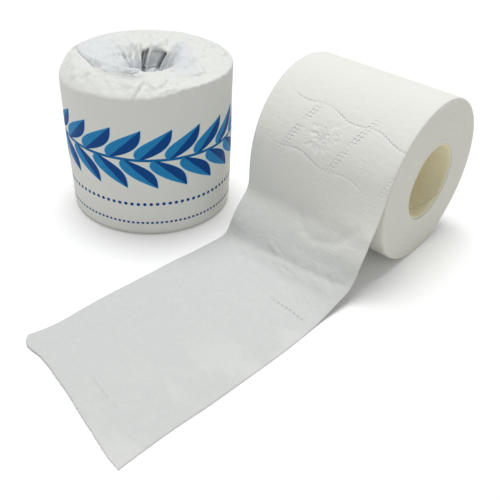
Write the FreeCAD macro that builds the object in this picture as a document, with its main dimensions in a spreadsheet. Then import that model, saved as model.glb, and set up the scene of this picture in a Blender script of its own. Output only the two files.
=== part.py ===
import FreeCAD, Part
import math
import os
import Sketcher

# A pack of two toilet rolls, in millimetres. One roll is still sealed in its printed paper wrapper and
# stands on end. The other is open: it lies on its side, and its loose tail hangs down its front and runs
# out along the surface.
#
# +X runs along the open roll's axis, the tail runs out towards -Y, and +Z is up. The origin is the middle
# of the open roll's foot, the narrow flat where the soft roll rests.

Vector = FreeCAD.Vector
doc = FreeCAD.newDocument("toilet_paper_pack")

DIMENSIONS = [
    ("web_width", 100.0, "width of the tissue, so the length of both rolls"),
    ("roll_radius", 52.5, "open roll, outside"),
    ("foot_flat_depth", 0.4, "how far the soft roll is pressed flat where it rests"),
    ("core_bore_radius", 23.5, "paper tube, inside"),
    ("core_wall", 1.3, "paper tube, wall"),
    ("core_recess", 0.5, "how far the tube stops short of each end of the winding"),
    ("turn_mark_count", 3, "rings of set-back turns that show on each end of the winding"),
    ("turn_mark_depth", 0.35, "how far those turns stand back"),
    ("turn_mark_width", 1.1, "width of one such ring"),
    ("web_caliper", 0.4, "thickness of the loose embossed tissue"),
    ("tail_edge_setback", 0.5, "how far the loose turn lies inside each end of the winding"),
    ("tail_left_landing", 21.0, "where the left edge reaches the surface, out from the roll's front"),
    ("tail_right_landing", 33.0, "where the right edge reaches the surface"),
    ("tail_left_reach", 171.0, "left corner of the torn end, out from the roll's front"),
    ("tail_right_reach", 188.0, "right corner of the torn end"),
    ("tail_drift_angle", 3.6, "degrees that the tail strays from square as it runs out"),
    ("tail_hollow", 3.0, "how far the middle of the hanging part bellies in towards the roll"),
    ("tail_ripple_height", 2.0, "height of the low ripples where the tail lies flat"),
    ("tail_corner_lift", 3.5, "height of the curled left corner of the torn end"),
    ("sealed_roll_left", 122.7, "sealed roll's axis, left of the open roll's middle"),
    ("sealed_roll_front", 71.4, "sealed roll's axis, in front of the open roll's axis"),
    ("wrap_radius", 54.0, "sealed roll, outside of its wrapper"),
    ("wrap_end_paper", 0.3, "wrapper folded flat over each end of the sealed roll"),
    ("shoulder_run", 5.0, "how far the wrapper's shoulder leans in"),
    ("shoulder_drop", 12.0, "how far below the top the shoulder starts"),
    ("base_bevel", 1.6, "bevel of the bottom rim"),
    ("tuck_mouth_radius", 21.0, "where the gathered wrapper turns down into the core"),
    ("tuck_bottom_radius", 9.0, "clear width at the bottom of the gathers"),
    ("top_tuck_depth", 28.0, "how deep the wrapper is pushed in at the top"),
    ("base_tuck_depth", 14.0, "how deep it is pushed in at the bottom"),
    ("pleat_count", 17, "gathered folds round each tuck"),
    ("pleat_reach", 16.0, "how far the longest fold runs out over the end"),
    ("pleat_depth", 1.7, "depth of a fold where it turns down"),
    ("pleat_twist", 34.0, "degrees that the gathers turn on their way in"),
    ("flap_thickness", 0.6, "the wide fold of wrapper that lies over the back of the top"),
]

# Shape of the tail where it hangs: each row goes one step down and out. The two edges hang differently, so
# a row gives height and way out for the left edge, then for the right edge. Heights are shares of the
# axis height, ways out are shares of that edge's landing, and the last number says how much of the hollow
# this row takes.
HANGING_ROWS = [
    (0.86, 0.04, 0.88, 0.12, 0.2),
    (0.66, 0.00, 0.73, 0.27, 0.7),
    (0.52, 0.05, 0.60, 0.31, 1.0),
    (0.39, 0.37, 0.44, 0.47, 1.0),
    (0.23, 0.72, 0.25, 0.54, 0.6),
    (0.08, 0.87, 0.15, 0.72, 0.2),
    (0.00, 1.05, 0.11, 0.93, 0.0),
]
# Shape of the tail where it lies: each row gives its place from landing to torn end, then the height of
# the ripples from the left edge to the right edge as shares of the ripple height.
LYING_ROWS = [
    (0.06, (0.0, 0.1, 0.4, 0.7, 0.9)),
    (0.18, (0.1, 0.0, 0.3, 0.2, 0.1)),
    (0.32, (0.7, 0.5, 0.0, 0.1, 0.5)),
    (0.48, (0.2, 0.6, 0.7, 0.2, 0.1)),
    (0.64, (0.1, 0.2, 0.1, 0.6, 0.6)),
    (0.80, (0.5, 0.1, 0.3, 0.3, 0.1)),
    (0.91, (0.2, 0.0, 0.6, 0.1, 0.0)),
    (1.00, (0.0, 0.1, 0.3, 0.2, 0.0)),
]
# How much of the corner's lift the last lying rows take, and how it fades from the left edge.
LIFT_ROWS = (0.0, 0.0, 0.0, 0.0, 0.0, 0.06, 0.38, 1.0)
LIFT_ACROSS = (1.0, 0.42, 0.08, 0.0, 0.0)
# The loose turn leaves the winding just above its front: degrees up from there, and depth in the winding.
ROOT_ROWS = [(21.0, 2.6), (10.0, 0.9)]

# The sealed roll's shoulder is a quarter of an ellipse, in this many steps.
SHOULDER_STEPS = 4
# The wide fold on the sealed roll's top, as points about its axis: degrees and share of the flat top.
FLAP_EDGE = [(-152.0, 0.985), (-95.0, 0.69), (-46.0, 0.48)]
FLAP_BACK_ANGLE = 98.0


class Measure:
    """A size from the sheet: its number now, and the formula that keeps it tied to the sheet."""

    def __init__(self, number, formula):
        self.number = number
        self.formula = formula

    def combine(self, sign, other, number):
        return Measure(number, f"({self.formula} {sign} {as_measure(other).formula})")

    def __add__(self, other):
        return self.combine("+", other, self.number + as_measure(other).number)

    def __sub__(self, other):
        return self.combine("-", other, self.number - as_measure(other).number)

    def __mul__(self, other):
        return self.combine("*", other, self.number * as_measure(other).number)

    def __truediv__(self, other):
        return self.combine("/", other, self.number / as_measure(other).number)


def as_measure(value):
    if isinstance(value, Measure):
        return value
    return Measure(float(value), f"{float(value):.6f}")


def make_sheet():
    sheet = doc.addObject("Spreadsheet::Sheet", "sizes")
    for row, (alias, number, note) in enumerate(DIMENSIONS, start=1):
        sheet.set(f"A{row}", alias)
        sheet.set(f"B{row}", str(number))
        sheet.set(f"C{row}", note)
        sheet.setAlias(f"B{row}", alias)
    doc.recompute()
    return sheet


sheet = make_sheet()


def size(alias):
    return Measure(float(sheet.get(alias)), f"sizes.{alias}")


AXIS_HEIGHT = size("roll_radius") - size("foot_flat_depth")
WINDING_BORE = size("core_bore_radius") + size("core_wall")
HALF_WIDTH = size("web_width") / 2
TOP_HEIGHT = size("web_width") + size("wrap_end_paper") * 2


def tie(target, path, measure):
    target.setExpression(path, measure.formula)


def new_sketch(body, name, role):
    plane = [item for item in body.Origin.OriginFeatures if item.Role == role][0]
    sketch = body.newObject("Sketcher::SketchObject", name)
    sketch.AttachmentSupport = (plane, [""])
    sketch.MapMode = "FlatFace"
    return sketch


def constrain(sketch, name, kind, geometry, point, measure):
    """One dimension of a sketch, tied to the sheet: a radius, or a point's place along X or Y."""
    if kind == "Radius":
        constraint = Sketcher.Constraint(kind, geometry, measure.number)
    elif abs(measure.number) < 1e-9:
        axis = -2 if kind == "DistanceX" else -1
        sketch.addConstraint(Sketcher.Constraint("PointOnObject", geometry, point, axis))
        return
    else:
        constraint = Sketcher.Constraint(kind, geometry, point, measure.number)
    index = sketch.addConstraint(constraint)
    sketch.renameConstraint(index, name)
    tie(sketch, f"Constraints.{name}", measure)


def add_circle(sketch, name, radius):
    circle = sketch.addGeometry(Part.Circle(Vector(0, 0, 0), Vector(0, 0, 1), radius.number), False)
    sketch.addConstraint(Sketcher.Constraint("Coincident", circle, 3, -1, 1))
    constrain(sketch, name, "Radius", circle, 3, radius)


def add_outline(sketch, name, corners):
    """A closed outline of straight lines through corners, each tied to the sheet."""
    corners = [(as_measure(x), as_measure(y)) for x, y in corners]
    points = [Vector(x.number, y.number, 0) for x, y in corners]
    lines = []
    for start, end in zip(points, points[1:] + points[:1]):
        lines.append(sketch.addGeometry(Part.LineSegment(start, end), False))
    for line, following in zip(lines, lines[1:] + lines[:1]):
        sketch.addConstraint(Sketcher.Constraint("Coincident", line, 2, following, 1))
    for number, (line, (x, y)) in enumerate(zip(lines, corners)):
        constrain(sketch, f"{name}_{number}_along", "DistanceX", line, 1, x)
        constrain(sketch, f"{name}_{number}_up", "DistanceY", line, 1, y)


# Paper core, a plain tube a little shorter than the winding
def make_core():
    body = doc.addObject("PartDesign::Body", "core_tube")
    section = new_sketch(body, "core_section", "YZ_Plane")
    add_circle(section, "bore", size("core_bore_radius"))
    add_circle(section, "outside", WINDING_BORE)
    tube = body.newObject("PartDesign::Pad", "core_length")
    tube.Profile = section
    tube.Midplane = True
    tie(tube, "Length", size("web_width") - size("core_recess") * 2)
    tie(body, "Placement.Base.z", AXIS_HEIGHT)
    body.Label = "core_tube"
    return body


# Winding of the open roll: round, with a narrow flat foot and faint rings of set-back turns on its ends
def make_winding():
    body = doc.addObject("PartDesign::Body", "winding")
    section = new_sketch(body, "winding_section", "YZ_Plane")
    radius = size("roll_radius").number
    half_angle = math.acos(AXIS_HEIGHT.number / radius)
    down = -math.pi / 2
    circle = Part.Circle(Vector(0, 0, 0), Vector(0, 0, 1), radius)
    outside = section.addGeometry(
        Part.ArcOfCircle(circle, down + half_angle, down - half_angle + 2 * math.pi), False
    )
    reach = radius * math.sin(half_angle)
    foot_ends = Vector(-reach, -AXIS_HEIGHT.number, 0), Vector(reach, -AXIS_HEIGHT.number, 0)
    foot = section.addGeometry(Part.LineSegment(*foot_ends), False)
    section.addConstraint(Sketcher.Constraint("Coincident", outside, 3, -1, 1))
    section.addConstraint(Sketcher.Constraint("Coincident", outside, 2, foot, 1))
    section.addConstraint(Sketcher.Constraint("Coincident", foot, 2, outside, 1))
    section.addConstraint(Sketcher.Constraint("Horizontal", foot))
    constrain(section, "outside", "Radius", outside, 3, size("roll_radius"))
    constrain(section, "foot", "DistanceY", foot, 1, AXIS_HEIGHT * -1)
    add_circle(section, "bore", WINDING_BORE)
    solid = body.newObject("PartDesign::Pad", "winding_length")
    solid.Profile = section
    solid.Midplane = True
    tie(solid, "Length", size("web_width"))
    doc.recompute()

    marks = new_sketch(body, "turn_marks", "XY_Plane")
    count = round(size("turn_mark_count").number)
    build_up = size("roll_radius") - WINDING_BORE
    for number in range(count):
        share = (number + 0.75 + 0.2 * math.sin(2.1 * number)) / (count + 0.5)
        inner = WINDING_BORE + build_up * share
        corners = [
            (HALF_WIDTH, inner),
            (HALF_WIDTH, inner + size("turn_mark_width")),
            (HALF_WIDTH - size("turn_mark_depth"), inner + size("turn_mark_width") * 0.3),
        ]
        add_outline(marks, f"mark_{number}", corners)
    groove = body.newObject("PartDesign::Groove", "right_turn_marks")
    groove.Profile = marks
    groove.ReferenceAxis = (marks, ["H_Axis"])
    groove.Angle = 360
    doc.recompute()
    mirror = body.newObject("PartDesign::Mirrored", "left_turn_marks")
    mirror.Originals = [groove]
    mirror.MirrorPlane = (marks, ["V_Axis"])
    body.Tip = mirror
    tie(body, "Placement.Base.z", AXIS_HEIGHT)
    return body


def tail_rows():
    """Rows of points on the underside of the tail, from its root in the winding to its torn end."""
    axis_height = AXIS_HEIGHT.number
    radius = size("roll_radius").number
    landing = size("tail_left_landing").number, size("tail_right_landing").number
    reach = size("tail_left_reach").number, size("tail_right_reach").number
    hollow = size("tail_hollow").number
    ripple = size("tail_ripple_height").number
    lift = size("tail_corner_lift").number
    drift = math.tan(math.radians(size("tail_drift_angle").number))
    half_width = HALF_WIDTH.number - size("tail_edge_setback").number
    stations = len(LIFT_ACROSS)
    across = [number / (stations - 1) for number in range(stations)]

    def blend(left, right, share):
        return left + (right - left) * share

    def point(share, out, height):
        strayed = drift * max(out, 0.0)
        return Vector(blend(-half_width, half_width, share) - strayed, -radius - out, height)

    rows = []
    for angle, depth in ROOT_ROWS:
        turn = math.radians(angle)
        buried = radius - depth
        out = buried * math.cos(turn) - radius
        rows.append([point(share, out, axis_height + buried * math.sin(turn)) for share in across])
    for left_height, left_out, right_height, right_out, fullness in HANGING_ROWS:
        row = []
        for share in across:
            belly = hollow * fullness * math.sin(math.pi * share)
            out = blend(left_out * landing[0], right_out * landing[1], share) - belly
            row.append(point(share, out, axis_height * blend(left_height, right_height, share)))
        rows.append(row)
    for (place, heights), lifted in zip(LYING_ROWS, LIFT_ROWS):
        row = []
        for share, height, fade in zip(across, heights, LIFT_ACROSS):
            start = blend(landing[0], landing[1], share) * 1.1
            out = blend(start, blend(reach[0], reach[1], share), place)
            row.append(point(share, out, ripple * height + lift * lifted * fade))
        rows.append(row)
    return rows


def thicken(rows, thickness):
    """The same rows one thickness further up or forward, square to the way the tail runs."""
    moved = []
    for number, row in enumerate(rows):
        before = rows[max(number - 1, 0)]
        after = rows[min(number + 1, len(rows) - 1)]
        moved_row = []
        for point, behind, ahead in zip(row, before, after):
            run = ahead - behind
            square = Vector(0, run.z, -run.y)
            moved_row.append(point + square.normalize() * thickness)
        moved.append(moved_row)
    return moved


def smooth_surface(rows):
    """A cubic surface steered by rows of points, clamped to the outermost ones."""
    degree = 3
    surface = Part.BSplineSurface()
    steps = len(rows) - degree, len(rows[0]) - degree
    knots = [[float(number) for number in range(count + 1)] for count in steps]
    repeats = [[degree + 1] + [1] * (count - 1) + [degree + 1] for count in steps]
    surface.buildFromPolesMultsKnots(
        rows, repeats[0], repeats[1], knots[0], knots[1], False, False, degree, degree
    )
    return surface


def border_edges(surface):
    first_row, last_row, first_side, last_side = surface.bounds()
    curves = surface.uIso(first_row), surface.uIso(last_row), surface.vIso(first_side), surface.vIso(last_side)
    return [curve.toShape() for curve in curves]


# Loose end of the outer turn: it comes off the front of the winding, hangs, folds and lies out flat
def make_tail():
    under_rows = tail_rows()
    under = smooth_surface(under_rows)
    upper = smooth_surface(thicken(under_rows, size("web_caliper").number))
    faces = [under.toShape(), upper.toShape()]
    for low_edge, high_edge in zip(border_edges(under), border_edges(upper)):
        faces.append(Part.makeRuledSurface(low_edge, high_edge))
    shell = Part.makeShell(faces)
    shell.sewShape()
    solid = Part.makeSolid(Part.Shell(shell.Faces))
    if solid.Volume < 0:
        solid.reverse()
    tail = doc.addObject("Part::Feature", "loose_tail")
    tail.Shape = solid
    return tail


def make_tissue_roll():
    roll = doc.addObject("Part::MultiFuse", "tissue_roll")
    roll.Shapes = [make_winding(), make_tail()]
    roll.Label = "tissue_roll"
    return roll


# Body of the sealed roll: straight wall, soft shoulder, flat ends
def make_sealed_body():
    body = doc.addObject("PartDesign::Body", "sealed_body")
    profile = new_sketch(body, "sealed_profile", "XZ_Plane")
    wall = size("wrap_radius")
    bevel = size("base_bevel")
    corners = [(0, 0), (wall - bevel, 0), (wall, bevel)]
    for step in range(SHOULDER_STEPS + 1):
        turned = math.pi / 2 * step / SHOULDER_STEPS
        lean = size("shoulder_run") * (1 - math.cos(turned))
        left_to_rise = size("shoulder_drop") * (1 - math.sin(turned))
        corners.append((wall - lean, TOP_HEIGHT - left_to_rise))
    corners.append((0, TOP_HEIGHT))
    add_outline(profile, "profile", corners)
    turned_body = body.newObject("PartDesign::Revolution", "sealed_turned")
    turned_body.Profile = profile
    turned_body.ReferenceAxis = (profile, ["V_Axis"])
    turned_body.Angle = 360
    doc.recompute()
    add_flap(body, (wall - size("shoulder_run")).number)
    return body


def polar(radius, degrees):
    turn = math.radians(degrees)
    return Vector(radius * math.cos(turn), radius * math.sin(turn), 0)


# Wide fold of wrapper over the back of the top: its curved edge swings from the rim round into the tuck
def add_flap(body, flat_radius):
    outline = new_sketch(body, "flap_outline", "XY_Plane")
    tie(outline, "AttachmentOffset.Base.z", TOP_HEIGHT)
    edge_points = [polar(flat_radius * share, degrees) for degrees, share in FLAP_EDGE]
    back_point = polar(edge_points[0].Length, FLAP_BACK_ANGLE)
    rim_middle = polar(edge_points[0].Length, (FLAP_BACK_ANGLE + FLAP_EDGE[0][0] + 360) / 2)
    inner_point = polar(edge_points[-1].Length * 0.5, FLAP_BACK_ANGLE)
    rim_arc = outline.addGeometry(Part.Arc(back_point, rim_middle, edge_points[0]), False)
    fold = outline.addGeometry(Part.Arc(*edge_points), False)
    inner = outline.addGeometry(Part.LineSegment(edge_points[-1], inner_point), False)
    back = outline.addGeometry(Part.LineSegment(inner_point, back_point), False)
    for geometry in (rim_arc, fold, inner, back):
        outline.addConstraint(Sketcher.Constraint("Block", geometry))
    fold_over = body.newObject("PartDesign::Pad", "flap")
    fold_over.Profile = outline
    tie(fold_over, "Length", size("flap_thickness"))
    body.Tip = fold_over
    doc.recompute()


def pleated_ring(height, outer, inner, reach, turned):
    """Corners of a zigzag round the axis. Folds differ in width and reach, as gathered paper does."""
    count = round(size("pleat_count").number)
    points = []
    for number in range(count):
        start = (number + 0.28 * math.sin(2.3 * number)) * 360 / count + turned
        following = (number + 1 + 0.28 * math.sin(2.3 * (number + 1))) * 360 / count + turned
        if number == count - 1:
            following = 360 + turned
        length = 0.35 + 0.65 * abs(math.sin(1.9 * number + 0.6))
        ridge = polar(inner, start)
        valley = polar(outer + reach * length, start + (following - start) * 0.55)
        ridge.z = valley.z = height
        points += [ridge, valley]
    return points


def facet(*corners):
    return Part.Face(Part.makePolygon(list(corners) + [corners[0]]))


def folded_solid(rings):
    """A closed solid of flat facets through rings that have the same number of corners."""
    faces = [facet(*rings[0]), facet(*rings[-1])]
    for upper, lower in zip(rings, rings[1:]):
        corners = list(zip(upper, lower))
        for (high, low), (next_high, next_low) in zip(corners, corners[1:] + corners[:1]):
            faces += [facet(high, low, next_low), facet(high, next_low, next_high)]
    shell = Part.makeShell(faces)
    shell.sewShape()
    solid = Part.makeSolid(Part.Shell(shell.Faces))
    if solid.Volume < 0:
        solid.reverse()
    return solid


# Hollow that the gathered wrapper leaves at one end: folds run in over the end and turn down into the core
def make_tuck(name, end_height, inward, depth):
    mouth = size("tuck_mouth_radius").number
    bottom = size("tuck_bottom_radius").number
    reach = size("pleat_reach").number
    fold = size("pleat_depth").number
    twist = size("pleat_twist").number
    clear = size("flap_thickness").number + 1.0
    throat = (mouth + bottom) / 2
    # each ring: way in, radius of the valleys, radius of the ridges, reach of the valleys, share of twist
    ring_rows = [
        (-clear, mouth + 1.0, mouth, reach, 0.0),
        (0.0, mouth + 1.0, mouth, reach, 0.0),
        (fold, mouth + 0.6, mouth - fold, 0.0, 0.15),
        (depth * 0.35, throat + 3.0, throat - 1.5, 0.0, 0.5),
        (depth, bottom + 2.0, bottom - 2.0, 0.0, 1.0),
    ]
    rings = []
    for way_in, outer, inner, ring_reach, share in ring_rows:
        rings.append(pleated_ring(end_height + inward * way_in, outer, inner, ring_reach, twist * share))
    tuck = doc.addObject("Part::Feature", name)
    tuck.Shape = folded_solid(rings)
    return tuck


def make_wrapped_roll():
    top_tuck = make_tuck("top_tuck", TOP_HEIGHT.number, -1, size("top_tuck_depth").number)
    base_tuck = make_tuck("base_tuck", 0.0, 1, size("base_tuck_depth").number)
    tucks = doc.addObject("Part::MultiFuse", "tucks")
    tucks.Shapes = [top_tuck, base_tuck]
    roll = doc.addObject("Part::Cut", "wrapped_roll")
    roll.Base = make_sealed_body()
    roll.Tool = tucks
    tie(roll, "Placement.Base.x", size("sealed_roll_left") * -1)
    tie(roll, "Placement.Base.y", size("sealed_roll_front") * -1)
    roll.Label = "wrapped_roll"
    return roll


def check(objects):
    for item in doc.Objects:
        if "Invalid" in item.State or "Error" in item.State:
            raise RuntimeError(f"{item.Name} did not build: {item.State}")
    for item in objects:
        if item.Shape.isNull() or not item.Shape.isValid():
            raise RuntimeError(f"{item.Label} has no valid shape")
        if len(item.Shape.Solids) != 1:
            raise RuntimeError(f"{item.Label} is {len(item.Shape.Solids)} solids, not 1")


parts = [make_core(), make_tissue_roll(), make_wrapped_roll()]
doc.recompute()
check(parts)
os.makedirs("parts", exist_ok=True)
for part in parts:
    part.Shape.exportStep(f"parts/{part.Label}.step")
    box = part.Shape.BoundBox
    print(f"{part.Label}: {part.Shape.Volume / 1000:.1f} cm3, {box.XMin:.1f} {box.YMin:.1f} {box.ZMin:.2f}"
          f" to {box.XMax:.1f} {box.YMax:.1f} {box.ZMax:.2f}")
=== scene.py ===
# Two toilet rolls set out together: an open one with a long loose tail, and a sealed one standing on end.
from math import atan2, ceil, cos, degrees, exp, floor, hypot, pi, radians, sin

import bmesh
import bpy
from mathutils import Matrix, Vector, noise


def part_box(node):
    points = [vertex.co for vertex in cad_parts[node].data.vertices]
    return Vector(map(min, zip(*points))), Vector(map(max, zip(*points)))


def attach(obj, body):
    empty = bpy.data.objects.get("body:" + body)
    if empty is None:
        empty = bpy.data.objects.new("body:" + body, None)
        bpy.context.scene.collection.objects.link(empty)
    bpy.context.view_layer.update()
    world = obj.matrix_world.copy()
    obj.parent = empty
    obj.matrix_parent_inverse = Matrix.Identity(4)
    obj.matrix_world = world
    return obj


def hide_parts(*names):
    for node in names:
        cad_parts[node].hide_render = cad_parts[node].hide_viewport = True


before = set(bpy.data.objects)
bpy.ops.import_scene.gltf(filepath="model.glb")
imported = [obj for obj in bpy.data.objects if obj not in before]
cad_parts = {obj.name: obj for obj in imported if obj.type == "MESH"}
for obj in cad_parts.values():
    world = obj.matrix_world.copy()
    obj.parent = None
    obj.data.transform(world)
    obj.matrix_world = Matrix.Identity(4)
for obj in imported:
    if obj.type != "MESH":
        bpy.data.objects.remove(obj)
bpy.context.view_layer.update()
mm = 0.001        # a millimetre in metres
metre = 1000.0    # a metre in millimetres

# Sizes that the frame gives, in millimetres
coreLow, coreHigh = (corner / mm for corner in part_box("core_tube"))
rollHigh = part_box("tissue_roll")[1] / mm
wrapLow, wrapHigh = (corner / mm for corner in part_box("wrapped_roll"))
axisHeight = (coreLow.z + coreHigh.z) / 2
coreOutside = (coreHigh.z - coreLow.z) / 2
rollRadius = rollHigh.z - axisHeight
wrapCentre = Vector(((wrapLow.x + wrapHigh.x) / 2, (wrapLow.y + wrapHigh.y) / 2, 0))
wrapRadius = (wrapHigh.x - wrapLow.x) / 2
print("frame loaded: roll radius", round(rollRadius, 2), "axis height", round(axisHeight, 2))


# Small sums that several pieces use
def lerp(low, high, share):
    return low + (high - low) * share


def smooth(value, low, high):
    # Rises softly from 0 at low to 1 at high; where low is the larger, it falls from 1 to 0
    share = min(max((value - low) / (high - low), 0.0), 1.0)
    return share * share * (3 - 2 * share)


def bump(distance, width):
    return exp(-(distance / width) ** 2)


def wobble(x, y, z):
    return noise.noise(Vector((x, y, z)))


def fromNearest(value, period):
    # Distance from the nearest multiple of the period
    share = value / period
    return abs(share - floor(share + 0.5)) * period


def polar(radius, angle):
    return Vector((radius * cos(radians(angle)), radius * sin(radians(angle)), 0))


def splinePoint(points, step):
    # A cubic B-spline that starts and ends at its end points; one step for each span
    spans = len(points) - 3
    step = min(max(step, 0.0), spans)
    span = min(int(step), spans - 1)
    near = [points[span + number] for number in range(4)]

    def knot(number):
        return min(max(number - 3, 0), spans)

    for level in range(1, 4):
        for number in range(3, level - 1, -1):
            low, high = knot(number + span), knot(number + span + 4 - level)
            share = (step - low) / (high - low)
            near[number] = near[number - 1] * (1 - share) + near[number] * share
    return near[3]


def walk(path, spacing):
    # Picks points along a dense path; spacing gives the wanted distance at a point
    kept, since = [path[0]], 0.0
    for before, after in zip(path, path[1:]):
        since += (after - before).length
        if since >= spacing(after):
            kept.append(after)
            since = 0.0
    if (kept[-1] - path[-1]).length > 1e-6:
        if since < spacing(path[-1]) * 0.5:
            kept.pop()
        kept.append(path[-1])
    return kept


def readTable(value, table):
    # Reads a value off a table of (place, value) pairs
    for (low, first), (high, second) in zip(table, table[1:]):
        if value <= high:
            return lerp(first, second, max(0.0, (value - low) / (high - low)))
    return table[-1][1]


def segmentDistance(point, start, end):
    # Distance from the stretch between two (x, y) places, and how far along it, from 0 to 1
    start, end = Vector((*start, 0)), Vector((*end, 0))
    run = end - start
    share = min(max((point - start).dot(run) / run.length_squared, 0.0), 1.0)
    return (point - start - run * share).length, share


def runningLengths(path):
    # How far along a path each of its points is
    lengths = [0.0]
    for before, after in zip(path, path[1:]):
        lengths.append(lengths[-1] + (after - before).length)
    return lengths


def spinProfile(profile, axis, rings, closed=True, merge=0.001):
    # A body of revolution about an axis through the origin, from the points of its outline
    mesh = bmesh.new()
    corners = [mesh.verts.new(point) for point in profile]
    pairs = list(zip(corners, corners[1:]))
    if closed:
        pairs.append((corners[-1], corners[0]))
    edges = [mesh.edges.new(pair) for pair in pairs]
    bmesh.ops.spin(mesh, geom=corners + edges, cent=(0, 0, 0), axis=axis, angle=2 * pi, steps=rings,
                   use_merge=True)
    bmesh.ops.remove_doubles(mesh, verts=mesh.verts, dist=merge)
    return mesh


def addObject(name, data):
    made = bpy.data.objects.new(name, data)
    bpy.context.scene.collection.objects.link(made)
    return made


def addMesh(mesh, name, finish):
    data = bpy.data.meshes.new(name)
    mesh.to_mesh(data)
    mesh.free()
    data.materials.append(finish.owner)
    return addObject(name, data)


def finishPiece(mesh, name, finish, node):
    for face in mesh.faces:
        face.smooth = True
    piece = addMesh(mesh, name, finish)
    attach(piece, "root")
    if node:
        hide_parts(node)
    print("made", name, len(piece.data.vertices), "points")
    return piece


# Shader sums written as sums
class Wire:
    def __init__(self, finish, socket):
        self.finish, self.socket = finish, socket

    def math(self, operation, *others):
        return self.finish.node("Math", {"operation": operation}, dict(enumerate((self,) + others)))

    def __add__(self, other):
        return self.math("ADD", other)

    def __sub__(self, other):
        return self.math("SUBTRACT", other)

    def __rsub__(self, other):
        return self.finish.node("Math", {"operation": "SUBTRACT"}, {0: other, 1: self})

    def __mul__(self, other):
        return self.math("MULTIPLY", other)

    def __truediv__(self, other):
        return self.math("DIVIDE", other)

    def __abs__(self):
        return self.math("ABSOLUTE")

    def __pow__(self, other):
        return self.math("POWER", other)

    __radd__, __rmul__ = __add__, __mul__

    def below(self, edge, soft):
        # 1 where the value is under the edge, 0 above it, softly
        return self.finish.node("MapRange", {"interpolation_type": "SMOOTHSTEP"},
                                {"Value": self, "From Min": edge + soft / 2, "From Max": edge - soft / 2})

    def repeat(self, period):
        # Folds the value into -period/2 .. period/2
        return self.math("WRAP", period / 2, -period / 2)


# The nodes of one material, or of the world
class Finish:
    def __init__(self, owner, kind="Material"):
        owner.use_nodes = True
        self.owner, self.tree = owner, owner.node_tree
        self.tree.nodes.clear()
        self.output = self.tree.nodes.new("ShaderNodeOutput" + kind)

    def feed(self, socket, value):
        if isinstance(value, Wire):
            self.tree.links.new(value.socket, socket)
        elif socket.type == "RGBA":
            socket.default_value = (*value, 1.0)
        else:
            socket.default_value = value

    def node(self, kind, settings=None, inputs=None, out=0):
        made = self.tree.nodes.new("ShaderNode" + kind)
        for name, value in (settings or {}).items():
            setattr(made, name, value)
        for place, value in (inputs or {}).items():
            self.feed(made.inputs[place], value)
        return Wire(self, made.outputs[out])

    def split(self, vector):
        parts = self.node("SeparateXYZ", None, {0: vector}).socket.node
        return [Wire(self, parts.outputs[axis]) for axis in range(3)]

    def join(self, *parts):
        return self.node("CombineXYZ", None, dict(enumerate(parts)))

    def blend(self, share, first, second):
        return self.node("Mix", {"data_type": "RGBA"}, {0: share, 6: first, 7: second}, out=2)

    def grain(self, vector, scale, detail=2.0, roughness=0.5):
        return self.node("TexNoise", None, {"Vector": vector, "Scale": scale, "Detail": detail,
                                            "Roughness": roughness})

    def centred(self, back):
        # The piece's own coordinates, moved back by a shift in metres
        place = self.node("TexCoord", None, None, out=3)
        return self.node("Mapping", {"vector_type": "POINT"}, {"Vector": place, "Location": back})

    def show(self, shader):
        self.tree.links.new(shader.socket, self.output.inputs["Surface"])

    def surface(self, base, height, roughness, reflection):
        # height is the relief in millimetres
        relief = self.node("Bump", None, {"Height": height, "Distance": mm, "Strength": 1.0})
        self.show(self.node("BsdfPrincipled", None, {
            "Base Color": base, "Normal": relief, "Roughness": roughness, "Specular IOR Level": reflection}))


# Camera
cameraSetting = {    # spot and lens in millimetres, turns in degrees
    "spot": (197.7, -352.6, 262.5), "yaw": 39.04, "pitch": 36.34, "roll": 3.48,
    "lens": 49.71, "sensor": 36, "nearest": 10.0,
}


def makeCamera(setting):
    yaw, pitch, roll = (radians(setting[name]) for name in ("yaw", "pitch", "roll"))
    ahead = Vector((-sin(yaw) * cos(pitch), cos(yaw) * cos(pitch), -sin(pitch)))
    right = ahead.cross(Vector((0, 0, 1))).normalized()
    up = right.cross(ahead)
    turnedRight = right * cos(roll) + up * sin(roll)
    turnedUp = up * cos(roll) - right * sin(roll)
    data = bpy.data.cameras.new("camera")
    data.lens, data.sensor_width = setting["lens"], setting["sensor"]
    data.clip_start = setting["nearest"] * mm
    camera = addObject("camera", data)
    turn = Matrix((turnedRight, turnedUp, -ahead)).transposed().to_4x4()
    camera.matrix_world = Matrix.Translation(Vector(setting["spot"]) * mm) @ turn
    bpy.context.scene.camera = camera


makeCamera(cameraSetting)
print("camera set")


# Tissue: colours, crepe, emboss. "web" holds each point's place on the unrolled web, in millimetres:
# across from the middle, along from the roll's front-most line (more up the roll, less down the tail),
# and the way from the torn end
tissueLook = {
    "rollColour": (0.90, 0.905, 0.85), "bendShadeColour": (0.645, 0.662, 0.647),
    "grooveShadeColour": (0.575, 0.592, 0.575), "tailColour": (0.662, 0.676, 0.665),
    "paleColour": (0.715, 0.725, 0.71), "mottleColour": (0.80, 0.815, 0.79),
    "embossHighlightColour": (1.0, 1.0, 0.98), "slotAndStripShadeColour": (0.42, 0.43, 0.43),
    "faceColour": (0.885, 0.885, 0.825), "bandColour": (0.80, 0.80, 0.745),
    "dotRow": -13.5, "dotRowGap": 36.7, "dotSlant": 0.435, "dotPair": 1.25, "dotPitch": 2.4,
    "dotSize": 0.75, "petalCount": 9.0, "petalReach": 10.5, "petalStart": 3.4,
    "heartReach": 3.2, "heartPitch": 2.2,
    "waveTop": 44.1, "waveGap": 31.8, "waveSlant": -0.115, "waveSwing": 1.7, "wavePeriod": 36.7,
    "waveStart": -17.2, "waveLean": 0.22,
    "perforation": -81.0, "slotPitch": 3.1, "stripLine": 15.0, "stripSlant": 0.08,
    "embossMiddle": (8.0, 29.0), "embossReach": (41.0, 19.5),
}


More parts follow.
